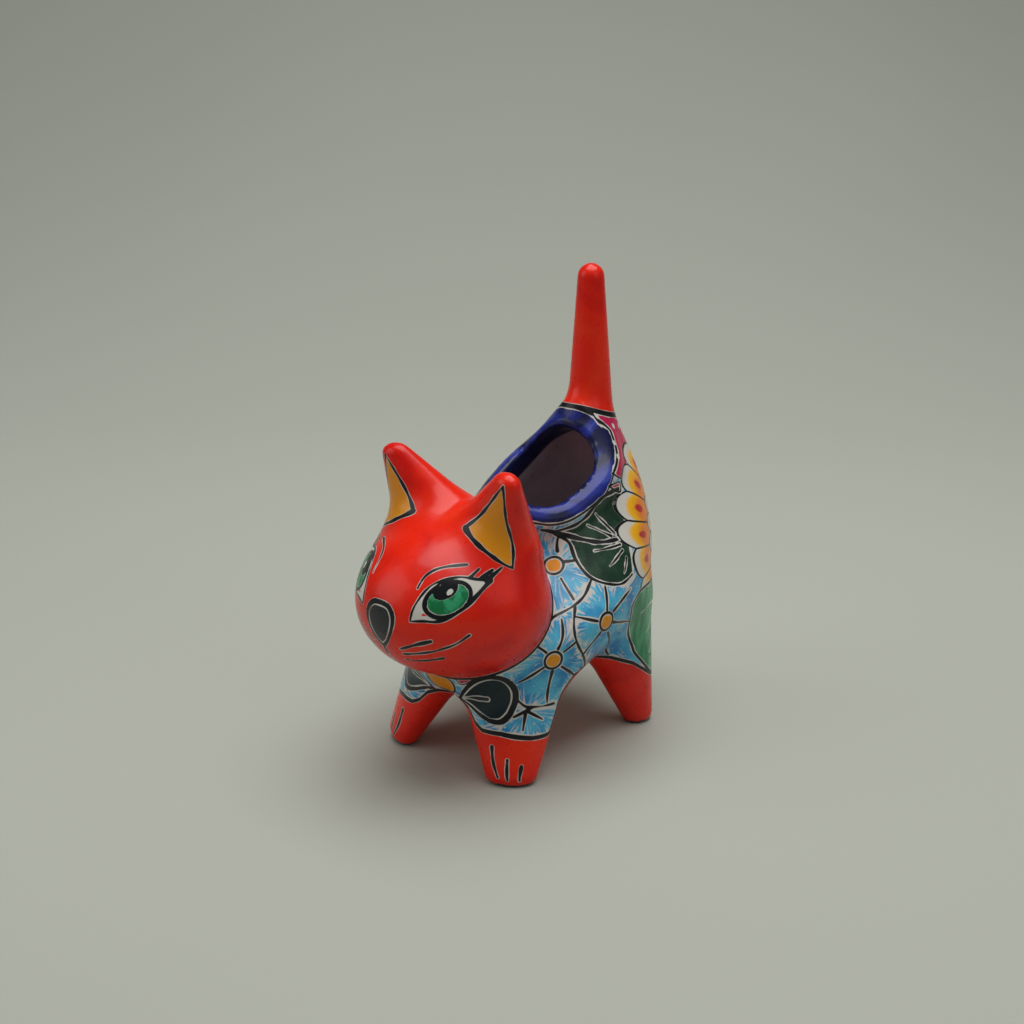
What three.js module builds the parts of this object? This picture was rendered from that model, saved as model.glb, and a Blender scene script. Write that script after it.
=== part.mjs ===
// A hand-painted ceramic cat planter: one hollow fired piece on four feet, open along its back.
// Millimetres, +Z up. The face looks along -Y, the cat's left side is +X, the feet stand on z = 0.
import * as THREE from 'three';

// Sizes that can be set by themselves
const height = 170; // soles to the tip of the tail
const wall = 5.2; // clay between the outside and the hollow
const floorLevel = 32; // height of the flat bottom of the hollow
const lipRadius = 2.9; // rolled edge of the mouth
const mouthWidth = 38; // across the mouth, on the middle of the rolled edge
const mouthLength = 41.5; // along the back, on the middle of the rolled edge
const soleCut = 2; // how much of each rounded foot is flattened
const faceBudget = 9400; // triangles in the finished solid
const flatBand = 0.15; // points this close to a flat belong to it

// The modelling of the figure follows its own height: each number is a percentage of it
const of = (percent) => (height * percent) / 100;
const degrees = Math.PI / 180;

const barrel = {
  y: of(4.1),
  z: of(33.29),
  halfWidth: of(24.31),
  halfLength: of(30.25),
  belly: of(18.17),
  slope: 18.2,
};
const rump = { at: [0, of(21.94), of(40.08)], radii: [of(14.04), of(16.57), of(26.69)] };
const mouth = { y: of(6.68), z: of(60.12), slope: 26.2, sag: of(7.63), squareness: 2.55 };
const skull = { at: [0, of(-17.74), of(38.18)], radii: [of(21.52), of(17.03), of(16.7)], slope: -2.6 };
const muzzle = { at: [0, of(-27.73), of(38)], radii: [of(13.3), of(10.64), of(10.64)] };
const nape = { at: [0, of(-5.38), of(46.5)], radii: [of(12.4), of(3.8), of(6.8)], slope: 20 };
const ear = {
  from: [of(7.97), of(-14.23), of(51.57)],
  to: [of(15.02), of(-18.66), of(65.04)],
  wide: of(7.02),
  thin: of(2.34),
  turn: -9.6,
  stretch: 1.45,
};
const frontLeg = {
  from: [of(8.99), of(-9.96), of(23.32)],
  to: [of(15.36), of(-17.87), of(3.26)],
  wide: of(7.19),
  thin: of(3.26),
  turn: 36.4,
  stretch: 1.69,
};
const rearLeg = {
  from: [of(12.72), of(16.51), of(28.88)],
  to: [of(17.33), of(22.48), of(3.01)],
  wide: of(8.61),
  thin: of(3.01),
  turn: 75.5,
  stretch: 1.2,
};
const tail = { from: [0, of(25.94), of(55.85)], y: of(25.35), wide: of(5.82), thin: of(2.86) };
const blend = {
  rump: of(8.2),
  muzzle: of(7.1),
  ear: of(6.5),
  leg: of(4.7),
  tail: of(5.9),
  neck: of(1.8),
  nape: of(2.9),
  lip: of(2.2),
  shoulder: of(2.6),
};

const clamp = (value, low, high) => Math.min(high, Math.max(low, value));

// Signed distances: negative inside the clay, positive outside, joined with soft fillets

function softUnion(a, b, fillet) {
  const h = clamp(0.5 + (0.5 * (b - a)) / fillet, 0, 1);
  return b + (a - b) * h - fillet * h * (1 - h);
}

const softCut = (a, b, fillet) => -softUnion(-a, -b, fillet);

function turned(y, z, slope) {
  const c = Math.cos(slope * degrees);
  const s = Math.sin(slope * degrees);
  return [y * c + z * s, -y * s + z * c];
}

function ellipsoid(x, y, z, { at, radii, slope = 0 }) {
  const [v, w] = turned(y - at[1], z - at[2], slope);
  const near = Math.hypot((x - at[0]) / radii[0], v / radii[1], w / radii[2]);
  const steep = Math.hypot((x - at[0]) / radii[0] ** 2, v / radii[1] ** 2, w / radii[2] ** 2);
  return (near * (near - 1)) / Math.max(steep, 1e-9);
}

function roundCone(x, y, z, from, to, wide, thin) {
  const axis = [to[0] - from[0], to[1] - from[1], to[2] - from[2]];
  const square = axis[0] ** 2 + axis[1] ** 2 + axis[2] ** 2;
  const taper = wide - thin;
  const rest = square - taper * taper;
  const dx = x - from[0];
  const dy = y - from[1];
  const dz = z - from[2];
  const along = dx * axis[0] + dy * axis[1] + dz * axis[2];
  const past = along - square;
  const off =
    (dx * square - axis[0] * along) ** 2 +
    (dy * square - axis[1] * along) ** 2 +
    (dz * square - axis[2] * along) ** 2;
  const alongSquare = along * along * square;
  const pastSquare = past * past * square;
  const limit = Math.sign(taper) * taper * taper * off;
  if (Math.sign(past) * rest * pastSquare > limit) return Math.sqrt(off + pastSquare) / square - thin;
  if (Math.sign(along) * rest * alongSquare < limit) return Math.sqrt(off + alongSquare) / square - wide;
  return (Math.sqrt((off * rest) / square) + along * taper) / square - wide;
}

// A round cone whose section is drawn out sideways about the middle of its far end
function limb(x, y, z, { from, to, wide, thin, turn, stretch }) {
  const c = Math.cos(turn * degrees);
  const s = Math.sin(turn * degrees);
  const flat = (px, py, pz) => {
    const dx = px - to[0];
    const dy = py - to[1];
    return [(dx * c + dy * s) / stretch, -dx * s + dy * c, pz];
  };
  const point = flat(x, y, z);
  return roundCone(...point, flat(...from), flat(...to), wide, thin);
}

// Height above the mouth: a sloping sheet that sags toward both sides
function aboveMouth(x, y, z) {
  const w = turned(y - mouth.y, z - mouth.z, mouth.slope)[1];
  return w + mouth.sag * softUnion((x / (mouthWidth / 2)) ** 2, 1, 0.6);
}

// The tub runs from the belly's oval up to the squarer oval of the mouth; 1 on its surface
function tubLevel(x, y, z) {
  const [low, rise] = turned(y - barrel.y, z - barrel.z, barrel.slope);
  const [high, over] = turned(y - mouth.y, z - mouth.z, mouth.slope);
  const short = over + mouth.sag;
  let h = 0;
  if (rise > 0) h = short >= 0 ? 1 : clamp(rise / (rise - short), 0, 1);
  const belly = 0.5 + 0.5 * Math.cos(Math.PI * h);
  const narrow = mouthWidth / 2 + wall / 2;
  const brief = mouthLength / 2 + wall / 2;
  const a = narrow + (barrel.halfWidth - narrow) * belly;
  const b = brief + (barrel.halfLength - brief) * belly;
  const v = low * belly + high * (1 - belly);
  const power = 2 + (mouth.squareness - 2) * (1 - belly);
  const ring = ((Math.abs(x / a) + 1e-5) ** power + (Math.abs(v / b) + 1e-5) ** power) ** (1 / power);
  return Math.hypot(ring, Math.min(rise, 0) / barrel.belly);
}

function tub(x, y, z) {
  const step = 0.4;
  const level = tubLevel(x, y, z);
  const slope = Math.hypot(
    tubLevel(x + step, y, z) - level,
    tubLevel(x, y + step, z) - level,
    tubLevel(x, y, z + step) - level,
  );
  const distance = clamp(((level - 1) * step) / Math.max(slope, 0.005), -60, 200);
  const reach = { at: [0, barrel.y, of(39)], radii: [of(27), of(36), of(36)] };
  return Math.max(distance, ellipsoid(x, y, z, reach));
}

function head(x, y, z) {
  const round = softUnion(ellipsoid(x, y, z, skull), ellipsoid(x, y, z, muzzle), blend.muzzle);
  return softUnion(round, limb(Math.abs(x), y, z, ear), blend.ear);
}

function legs(x, y, z) {
  const lower = (leg) => ({ ...leg, to: [leg.to[0], leg.to[1], leg.to[2] - soleCut] });
  const side = Math.abs(x);
  return Math.min(limb(side, y, z, lower(frontLeg)), limb(side, y, z, lower(rearLeg)));
}

const hull = (x, y, z) => softUnion(tub(x, y, z), ellipsoid(x, y, z, rump), blend.rump);

function planter(x, y, z) {
  const over = aboveMouth(x, y, z);
  const shell = hull(x, y, z);
  // the cut climbs away from the lip on the outside, so that it leaves the shoulders whole
  const cut = over - 1.5 * Math.max(shell + wall / 2, 0);
  const lip = Math.hypot(shell + wall / 2, over) - lipRadius;
  const tip = [0, tail.y, height - tail.thin];
  let clay = softCut(shell, cut, blend.shoulder);
  clay = softUnion(clay, roundCone(x, y, z, tail.from, tip, tail.wide, tail.thin), blend.tail);
  clay = softUnion(clay, lip, blend.lip);
  clay = softUnion(clay, legs(x, y, z), blend.leg);
  clay = softUnion(clay, head(x, y, z), blend.neck);
  clay = softUnion(clay, ellipsoid(x, y, z, nape), blend.nape);
  const hollow = softCut(Math.max(shell + wall, over - 2 * lipRadius), floorLevel - z, 4);
  return softCut(softCut(clay, -hollow, 3), -z, 0.5);
}

// The height of the flat that a point belongs to: a sole, or the bottom of the hollow
function flatHeight([x, y, z]) {
  if (Math.abs(z) < flatBand) return 0;
  if (Math.abs(z - floorLevel) < flatBand && hull(x, y, z) < 1 - wall) return floorLevel;
  return undefined;
}

// A face of the grid whose corners alternate would pinch the skin: its weakest corner changes side
function untangle(values, [nx, ny, nz]) {
  const strides = [1, nx, nx * ny];
  const last = [nx - 1, ny - 1, nz - 1];
  let changed = 1;
  for (let round = 0; changed && round < 20; round += 1) {
    changed = 0;
    for (let n = 0; n < values.length; n += 1) {
      const place = [n % nx, Math.floor(n / nx) % ny, Math.floor(n / (nx * ny))];
      for (let d = 0; d < 3; d += 1) {
        const e = (d + 1) % 3;
        if (place[d] === last[d] || place[e] === last[e]) continue;
        const corners = [n, n + strides[d], n + strides[d] + strides[e], n + strides[e]];
        const [a, b, c, f] = corners.map((i) => values[i] < 0);
        if (a !== c || b !== f || a === b) continue;
        const weakest = corners.reduce((best, i) => (Math.abs(values[i]) < Math.abs(values[best]) ? i : best));
        values[weakest] = values[weakest] < 0 ? 0.01 : -0.01;
        changed += 1;
      }
    }
  }
}

// A net of points is laid over the surface, one in each cell of a grid that the surface crosses
function layNet(field, low, high, cell) {
  const count = low.map((value, i) => Math.ceil((high[i] - value) / cell) + 1);
  const [nx, ny, nz] = count;
  const at = (i, j, k) => i + nx * (j + ny * k);
  const values = new Float32Array(nx * ny * nz);
  for (let k = 0; k < nz; k += 1) {
    for (let j = 0; j < ny; j += 1) {
      for (let i = 0; i < nx; i += 1) {
        values[at(i, j, k)] = field(low[0] + i * cell, low[1] + j * cell, low[2] + k * cell);
      }
    }
  }
  untangle(values, count);
  const points = [];
  const cells = new Map();
  const corners = [0, 1, 2, 3, 4, 5, 6, 7].map((c) => [c & 1, (c >> 1) & 1, c >> 2]);
  const edges = [];
  for (let a = 0; a < 8; a += 1) {
    for (const bit of [1, 2, 4]) if (!(a & bit)) edges.push([a, a | bit]);
  }
  for (let k = 0; k < nz - 1; k += 1) {
    for (let j = 0; j < ny - 1; j += 1) {
      for (let i = 0; i < nx - 1; i += 1) {
        const here = corners.map(([a, b, c]) => values[at(i + a, j + b, k + c)]);
        const sum = [0, 0, 0];
        let crossings = 0;
        for (const [a, b] of edges) {
          if (here[a] < 0 === here[b] < 0) continue;
          const t = here[a] / (here[a] - here[b]);
          for (let d = 0; d < 3; d += 1) sum[d] += corners[a][d] + t * (corners[b][d] - corners[a][d]);
          crossings += 1;
        }
        if (!crossings) continue;
        cells.set(at(i, j, k), points.length);
        points.push([i, j, k].map((n, d) => low[d] + cell * (n + sum[d] / crossings)));
      }
    }
  }
  const faces = [];
  const steps = [[1, 0, 0], [0, 1, 0], [0, 0, 1]];
  for (let k = 1; k < nz - 1; k += 1) {
    for (let j = 1; j < ny - 1; j += 1) {
      for (let i = 1; i < nx - 1; i += 1) {
        for (let d = 0; d < 3; d += 1) {
          const [sx, sy, sz] = steps[d];
          const inside = values[at(i, j, k)] < 0;
          if (inside === values[at(i + sx, j + sy, k + sz)] < 0) continue;
          const [bx, by, bz] = steps[(d + 1) % 3];
          const [cx, cy, cz] = steps[(d + 2) % 3];
          const loop = [
            cells.get(at(i, j, k)),
            cells.get(at(i - bx, j - by, k - bz)),
            cells.get(at(i - bx - cx, j - by - cy, k - bz - cz)),
            cells.get(at(i - cx, j - cy, k - cz)),
          ];
          if (!inside) loop.reverse();
          faces.push([loop[0], loop[1], loop[2]], [loop[0], loop[2], loop[3]]);
        }
      }
    }
  }
  return { points, faces };
}

// Slides a point along the field's slope until it lies on the surface
function settle(field, point, rounds) {
  const step = 0.02;
  for (let n = 0; n < rounds; n += 1) {
    const [x, y, z] = point;
    const value = field(x, y, z);
    if (Math.abs(value) < 1e-4) break;
    const gx = (field(x + step, y, z) - field(x - step, y, z)) / (2 * step);
    const gy = (field(x, y + step, z) - field(x, y - step, z)) / (2 * step);
    const gz = (field(x, y, z + step) - field(x, y, z - step)) / (2 * step);
    const move = clamp(value / Math.max(gx * gx + gy * gy + gz * gz, 0.2), -1, 1);
    point[0] -= gx * move;
    point[1] -= gy * move;
    point[2] -= gz * move;
  }
}

// Evens out the net, then lays it on the surface again
function relax(field, { points, faces }, rounds) {
  for (let n = 0; n < rounds; n += 1) {
    const sums = points.map(() => [0, 0, 0, 0]);
    for (const face of faces) {
      for (let e = 0; e < 3; e += 1) {
        const sum = sums[face[e]];
        const next = points[face[(e + 1) % 3]];
        for (let d = 0; d < 3; d += 1) sum[d] += next[d];
        sum[3] += 1;
      }
    }
    points.forEach((point, i) => {
      if (flatHeight(point) !== undefined) return;
      for (let d = 0; d < 3; d += 1) point[d] += 0.5 * (sums[i][d] / sums[i][3] - point[d]);
      settle(field, point, 3);
    });
  }
}

const minus = (a, b) => [a[0] - b[0], a[1] - b[1], a[2] - b[2]];
const dot = (a, b) => a[0] * b[0] + a[1] * b[1] + a[2] * b[2];
const cross = (a, b) => [a[1] * b[2] - a[2] * b[1], a[2] * b[0] - a[0] * b[2], a[0] * b[1] - a[1] * b[0]];
const faceNormal = (a, b, c) => cross(minus(b, a), minus(c, a));

// The squared distance to the planes of a point's faces, as the ten terms of a quadratic form
function planeTerms(normal, point) {
  const area = Math.hypot(...normal);
  if (area < 1e-12) return new Float64Array(10);
  const [a, b, c] = normal.map((value) => value / area);
  const d = -(a * point[0] + b * point[1] + c * point[2]);
  return Float64Array.of(a * a, a * b, a * c, a * d, b * b, b * c, b * d, c * c, c * d, d * d);
}

function planeError(q, [x, y, z]) {
  const square = q[0] * x * x + 2 * q[1] * x * y + 2 * q[2] * x * z + 2 * q[3] * x + q[4] * y * y;
  return square + 2 * q[5] * y * z + 2 * q[6] * y + q[7] * z * z + 2 * q[8] * z + q[9];
}

// A heap that gives back the cheapest item first
class Queue {
  constructor() {
    this.items = [];
  }

  push(item) {
    const { items } = this;
    let i = items.push(item) - 1;
    while (i > 0) {
      const up = (i - 1) >> 1;
      if (items[up].cost <= items[i].cost) break;
      [items[up], items[i]] = [items[i], items[up]];
      i = up;
    }
  }

  pop() {
    const { items } = this;
    const top = items[0];
    const last = items.pop();
    if (!items.length) return top;
    items[0] = last;
    let i = 0;
    for (;;) {
      let least = 2 * i + 1;
      if (least >= items.length) return top;
      if (least + 1 < items.length && items[least + 1].cost < items[least].cost) least += 1;
      if (items[i].cost <= items[least].cost) return top;
      [items[least], items[i]] = [items[i], items[least]];
      i = least;
    }
  }
}

// Merges neighbours where the surface is nearly flat, until the net is within its budget
function thin(field, { points, faces }, budget) {
  const around = points.map(() => new Set());
  const terms = points.map(() => new Float64Array(10));
  faces.forEach((face, f) => {
    const [a, b, c] = face.map((i) => points[i]);
    const plane = planeTerms(faceNormal(a, b, c), a);
    for (const i of face) {
      around[i].add(f);
      for (let t = 0; t < 10; t += 1) terms[i][t] += plane[t];
    }
  });
  const stamp = new Int32Array(points.length);
  const queue = new Queue();
  const middle = (a, b) => points[a].map((value, d) => (value + points[b][d]) / 2);
  const flats = points.map(flatHeight);
  const edging = new Set();
  for (const face of faces) {
    if (face.every((i) => flats[i] === flats[face[0]])) continue;
    for (const i of face) if (flats[i] !== undefined) edging.add(i);
  }
  const offer = (a, b) => {
    if (flats[a] !== flats[b] || edging.has(a) || edging.has(b)) return;
    const q = terms[a].map((value, t) => value + terms[b][t]);
    const span = minus(points[a], points[b]);
    const cost = planeError(q, middle(a, b)) + 0.0012 * dot(span, span);
    queue.push({ cost, a, b, sa: stamp[a], sb: stamp[b] });
  };
  const neighbours = (i) => {
    const found = new Set();
    for (const f of around[i]) for (const j of faces[f]) if (j !== i) found.add(j);
    return found;
  };
  points.forEach((_, i) => {
    for (const j of neighbours(i)) if (j > i) offer(i, j);
  });
  const keepsShape = (i, other, target) => {
    for (const f of around[i]) {
      const face = faces[f];
      if (face.includes(other)) continue;
      const before = faceNormal(...face.map((j) => points[j]));
      const after = faceNormal(...face.map((j) => (j === i ? target : points[j])));
      const size = Math.hypot(...after);
      if (dot(before, after) < 0.5 * Math.hypot(...before) * size) return false;
      const corner = face.map((j) => (j === i ? target : points[j]));
      const sides = [0, 1, 2].map((e) => minus(corner[e], corner[(e + 1) % 3]));
      const total = sides.reduce((sum, side) => sum + dot(side, side), 0);
      if (size < 0.12 * total) return false;
    }
    return true;
  };
  let left = faces.length;
  while (left > budget && queue.items.length) {
    const { a, b, sa, sb } = queue.pop();
    if (sa !== stamp[a] || sb !== stamp[b] || !around[a].size || !around[b].size) continue;
    const nearA = neighbours(a);
    const shared = [...neighbours(b)].filter((i) => nearA.has(i));
    if (shared.length !== 2) continue;
    const target = middle(a, b);
    settle(field, target, 4);
    if (!keepsShape(a, b, target) || !keepsShape(b, a, target)) continue;
    points[a] = target;
    for (let t = 0; t < 10; t += 1) terms[a][t] += terms[b][t];
    for (const f of around[b]) {
      if (faces[f].includes(a)) {
        for (const i of faces[f]) if (i !== b) around[i].delete(f);
        faces[f] = null;
        left -= 1;
      } else {
        faces[f] = faces[f].map((i) => (i === b ? a : i));
        around[a].add(f);
      }
    }
    around[b].clear();
    stamp[a] += 1;
    stamp[b] += 1;
    for (const j of neighbours(a)) offer(a, j);
  }
  return { points, faces: faces.filter(Boolean) };
}

// One closed skin as an indexed geometry, with the middle of its footprint at the origin
function skin({ points, faces }) {
  const index = new Map();
  const position = [];
  const order = faces.flat().map((i) => {
    if (!index.has(i)) {
      index.set(i, position.length / 3);
      const [x, y, z] = points[i];
      position.push(x, y, flatHeight(points[i]) ?? z);
    }
    return index.get(i);
  });
  const geometry = new THREE.BufferGeometry();
  geometry.setAttribute('position', new THREE.Float32BufferAttribute(position, 3));
  geometry.setIndex(order);
  geometry.computeBoundingBox();
  const { min, max } = geometry.boundingBox;
  geometry.translate(-(min.x + max.x) / 2, -(min.y + max.y) / 2, -min.z);
  geometry.computeVertexNormals();
  return geometry;
}

const cell = of(1);
const halfSpan = of(26.5);
const net = layNet(planter, [-halfSpan, of(-41.5), -cell * 1.5], [halfSpan, of(41.5), height + cell * 2], cell);
relax(planter, net, 1);
let model = net;
for (const share of [3, 1.6, 1]) {
  model = thin(planter, model, faceBudget * share);
  relax(planter, model, 1);
}
const top = model.faces.flat().reduce((best, i) => (model.points[i][2] > model.points[best][2] ? i : best));
model.points[top] = [0, tail.y, height];

const glaze = new THREE.MeshStandardMaterial({ color: 0xc92410, roughness: 0.16, metalness: 0 });
const catPlanter = new THREE.Mesh(skin(model), glaze);
catPlanter.name = 'cat_planter';

const group = new THREE.Group();
group.add(catPlanter);

export default group;
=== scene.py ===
import math

import bmesh
import bpy
import numpy as np
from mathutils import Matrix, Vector
from mathutils.bvhtree import BVHTree


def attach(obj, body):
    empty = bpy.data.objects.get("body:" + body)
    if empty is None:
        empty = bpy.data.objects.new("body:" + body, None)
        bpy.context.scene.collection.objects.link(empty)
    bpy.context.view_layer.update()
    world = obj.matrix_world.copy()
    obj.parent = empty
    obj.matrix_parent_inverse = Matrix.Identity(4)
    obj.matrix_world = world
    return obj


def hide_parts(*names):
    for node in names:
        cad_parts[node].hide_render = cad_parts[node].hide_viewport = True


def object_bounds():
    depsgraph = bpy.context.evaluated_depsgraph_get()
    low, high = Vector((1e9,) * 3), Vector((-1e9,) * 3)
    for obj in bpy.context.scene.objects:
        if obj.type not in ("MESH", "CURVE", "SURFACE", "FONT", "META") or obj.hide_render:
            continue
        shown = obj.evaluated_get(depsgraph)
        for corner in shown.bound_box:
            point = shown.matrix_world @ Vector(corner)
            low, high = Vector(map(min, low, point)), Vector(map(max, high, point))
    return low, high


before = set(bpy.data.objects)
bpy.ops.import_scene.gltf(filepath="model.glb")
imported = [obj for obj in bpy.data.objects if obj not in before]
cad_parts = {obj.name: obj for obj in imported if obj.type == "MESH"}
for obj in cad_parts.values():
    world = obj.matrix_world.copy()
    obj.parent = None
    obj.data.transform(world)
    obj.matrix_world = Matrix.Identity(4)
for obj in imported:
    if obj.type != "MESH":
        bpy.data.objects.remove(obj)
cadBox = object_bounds()
print("frame loaded")

millimetre = 0.001

# The modelled form, in millimetres, as the frame's solid has it

form = {
    "height": 170.0,
    "wall": 5.2,
    "floorLevel": 32.0,
    "lipRadius": 2.9,
    "mouthWidth": 38.0,
    "mouthLength": 41.5,
}
barrel = {"y": 6.97, "z": 56.59, "halfWidth": 41.33, "halfLength": 51.43, "belly": 30.89, "slope": 18.2}
rump = {"at": (0, 37.3, 68.14), "radii": (23.87, 28.17, 45.37), "slope": 0}
mouth = {"y": 11.36, "z": 102.2, "slope": 26.2, "sag": 12.97, "squareness": 2.55}
skull = {"at": (0, -30.16, 64.91), "radii": (36.58, 28.95, 28.39), "slope": -2.6}
muzzle = {"at": (0, -47.14, 64.6), "radii": (22.61, 18.09, 18.09), "slope": 0}
nape = {"at": (0, -9.15, 79.05), "radii": (21.08, 6.46, 11.56), "slope": 20}
ear = {
    "start": (13.55, -24.19, 87.67),
    "end": (25.53, -31.72, 110.57),
    "wide": 11.93,
    "thin": 3.98,
    "turn": -9.6,
    "stretch": 1.45,
}
frontLeg = {
    "start": (15.28, -16.93, 39.64),
    "end": (26.11, -30.38, 3.54),
    "wide": 12.22,
    "thin": 5.54,
    "turn": 36.4,
    "stretch": 1.69,
}
rearLeg = {
    "start": (21.62, 28.07, 49.1),
    "end": (29.46, 38.22, 3.12),
    "wide": 14.64,
    "thin": 5.12,
    "turn": 75.5,
    "stretch": 1.2,
}
tail = {"start": (0, 44.1, 94.94), "y": 43.1, "wide": 9.89, "thin": 4.86}
fillet = {
    "rump": 13.94,
    "muzzle": 12.07,
    "ear": 11.05,
    "leg": 7.99,
    "tail": 10.03,
    "neck": 3.06,
    "nape": 4.93,
    "lip": 3.74,
    "shoulder": 4.42,
    "hollow": 3.0,
}


def softJoin(a, b, width):
    h = np.clip(0.5 + 0.5 * (b - a) / width, 0, 1)
    return b + (a - b) * h - width * h * (1 - h)


def softCut(a, b, width):
    return -softJoin(-a, -b, width)


def turned(y, z, slope):
    c, s = math.cos(math.radians(slope)), math.sin(math.radians(slope))
    return y * c + z * s, z * c - y * s


def egg(p, shape):
    at, radii = shape["at"], shape["radii"]
    v, w = turned(p[:, 1] - at[1], p[:, 2] - at[2], shape["slope"])
    local = np.stack([p[:, 0] - at[0], v, w], 1) / radii
    near = np.linalg.norm(local, axis=1)
    steep = np.linalg.norm(local / radii, axis=1)
    return near * (near - 1) / np.maximum(steep, 1e-9)


def roundCone(p, start, end, wide, thin):
    start, axis = np.array(start), np.array(end) - np.array(start)
    square = axis @ axis
    taper = wide - thin
    rest = square - taper * taper
    d = p - start
    along = d @ axis
    past = along - square
    off = ((d * square - along[:, None] * axis) ** 2).sum(1)
    limit = np.sign(taper) * taper * taper * off
    side = (np.sqrt(off * rest / square) + along * taper) / square - wide
    nearEnd = np.sqrt(off + along**2 * square) / square - wide
    farEnd = np.sqrt(off + past**2 * square) / square - thin
    beyond = np.sign(past) * rest * past**2 * square > limit
    before = np.sign(along) * rest * along**2 * square < limit
    return np.where(beyond, farEnd, np.where(before, nearEnd, side))


def limb(p, shape):
    end = np.array(shape["end"])
    c, s = math.cos(math.radians(shape["turn"])), math.sin(math.radians(shape["turn"]))

    def flat(q):
        d = q - end
        across = (d[..., 0] * c + d[..., 1] * s) / shape["stretch"]
        return np.stack([across, d[..., 1] * c - d[..., 0] * s, q[..., 2]], -1)

    return roundCone(flat(p), flat(np.array(shape["start"])), flat(end), shape["wide"], shape["thin"])


def folded(p):  # the form is alike on both sides
    return p * [1, 1, 1] * np.where(p[:, :1] < 0, [[-1, 1, 1]], [[1, 1, 1]])


def aboveMouth(p):
    level = turned(p[:, 1] - mouth["y"], p[:, 2] - mouth["z"], mouth["slope"])[1]
    sideways = (p[:, 0] / (form["mouthWidth"] / 2)) ** 2
    return level + mouth["sag"] * softJoin(sideways, 1.0, 0.6)


def tubLevel(p):
    low, rise = turned(p[:, 1] - barrel["y"], p[:, 2] - barrel["z"], barrel["slope"])
    high, over = turned(p[:, 1] - mouth["y"], p[:, 2] - mouth["z"], mouth["slope"])
    short = over + mouth["sag"]
    share = np.clip(rise / np.maximum(rise - short, 1e-6), 0, 1)
    share = np.where(rise > 0, np.where(short >= 0, 1.0, share), 0.0)
    belly = 0.5 + 0.5 * np.cos(np.pi * share)
    narrow = (form["mouthWidth"] + form["wall"]) / 2
    brief = (form["mouthLength"] + form["wall"]) / 2
    a = narrow + (barrel["halfWidth"] - narrow) * belly
    b = brief + (barrel["halfLength"] - brief) * belly
    v = low * belly + high * (1 - belly)
    power = 2 + (mouth["squareness"] - 2) * (1 - belly)
    ring = ((np.abs(p[:, 0] / a) + 1e-5) ** power + (np.abs(v / b) + 1e-5) ** power) ** (1 / power)
    return np.hypot(ring, np.minimum(rise, 0) / barrel["belly"])


def tub(p):
    step = 0.4
    level = tubLevel(p)
    slope = np.sqrt(sum((tubLevel(p + step * axis) - level) ** 2 for axis in np.eye(3)))
    distance = np.clip((level - 1) * step / np.maximum(slope, 0.005), -60, 200)
    reach = {"at": (0, barrel["y"], 66.3), "radii": (45.9, 61.2, 61.2), "slope": 0}
    return np.maximum(distance, egg(p, reach))


def shell(p):
    return softJoin(tub(p), egg(p, rump), fillet["rump"])


def head(p):
    whole = softJoin(egg(p, skull), egg(p, muzzle), fillet["muzzle"])
    return softJoin(whole, limb(folded(p), ear), fillet["ear"])


def legs(p):
    side = folded(p)
    return np.minimum(limb(side, frontLeg), limb(side, rearLeg))


def clay(p):
    over = aboveMouth(p)
    outside = shell(p)
    climb = over - 1.5 * np.maximum(outside + form["wall"] / 2, 0)
    lip = np.hypot(outside + form["wall"] / 2, over) - form["lipRadius"]
    tip = (0, tail["y"], form["height"] - tail["thin"])
    solid = softCut(outside, climb, fillet["shoulder"])
    solid = softJoin(solid, roundCone(p, tail["start"], tip, tail["wide"], tail["thin"]), fillet["tail"])
    solid = softJoin(solid, lip, fillet["lip"])
    solid = softJoin(solid, legs(p), fillet["leg"])
    solid = softJoin(solid, head(p), fillet["neck"])
    solid = softJoin(solid, egg(p, nape), fillet["nape"])
    room = np.maximum(outside + form["wall"], over - 2 * form["lipRadius"])
    hollow = softCut(room, form["floorLevel"] - p[:, 2], 4)
    return softCut(softCut(solid, -hollow, fillet["hollow"]), -p[:, 2], 0.5)


def settle(p, rounds):  # slides points along the form's slope until they lie on it
    for _ in range(rounds):
        value = clay(p)
        slope = np.stack([clay(p + 0.02 * axis) - clay(p - 0.02 * axis) for axis in np.eye(3)], 1) / 0.04
        move = np.clip(value / np.maximum((slope**2).sum(1), 0.2), -1, 1)
        p = p - slope * move[:, None]
    return p


# The clay mesh: the frame's solid on an even grid, laid on the smooth form

clayGrid = {"voxel": 1.75, "evenRounds": 3, "shortest": 0.5, "finest": 0.55, "near": 0.56}


def evened(p, edges, share=0.5):
    total = np.zeros_like(p)
    count = np.bincount(edges.ravel(), minlength=len(p))[:, None]
    for a, b in ((0, 1), (1, 0)):
        np.add.at(total, edges[:, a], p[edges[:, b]])
    return p + share * (total / np.maximum(count, 1) - p)


def meshPoints(mesh):
    flat = np.empty(len(mesh.vertices) * 3)
    mesh.vertices.foreach_get("co", flat)
    return flat.reshape(-1, 3) / millimetre


def putPoints(mesh, p):
    mesh.vertices.foreach_set("co", (p * millimetre).ravel())
    mesh.update()


def collapseShort(mesh, length):  # slivers would shade as specks
    bm = bmesh.new()
    bm.from_mesh(mesh)
    bmesh.ops.dissolve_degenerate(bm, edges=bm.edges, dist=length * millimetre)
    bmesh.ops.triangulate(bm, faces=bm.faces, quad_method="BEAUTY")
    bm.to_mesh(mesh)
    bm.free()


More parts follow.
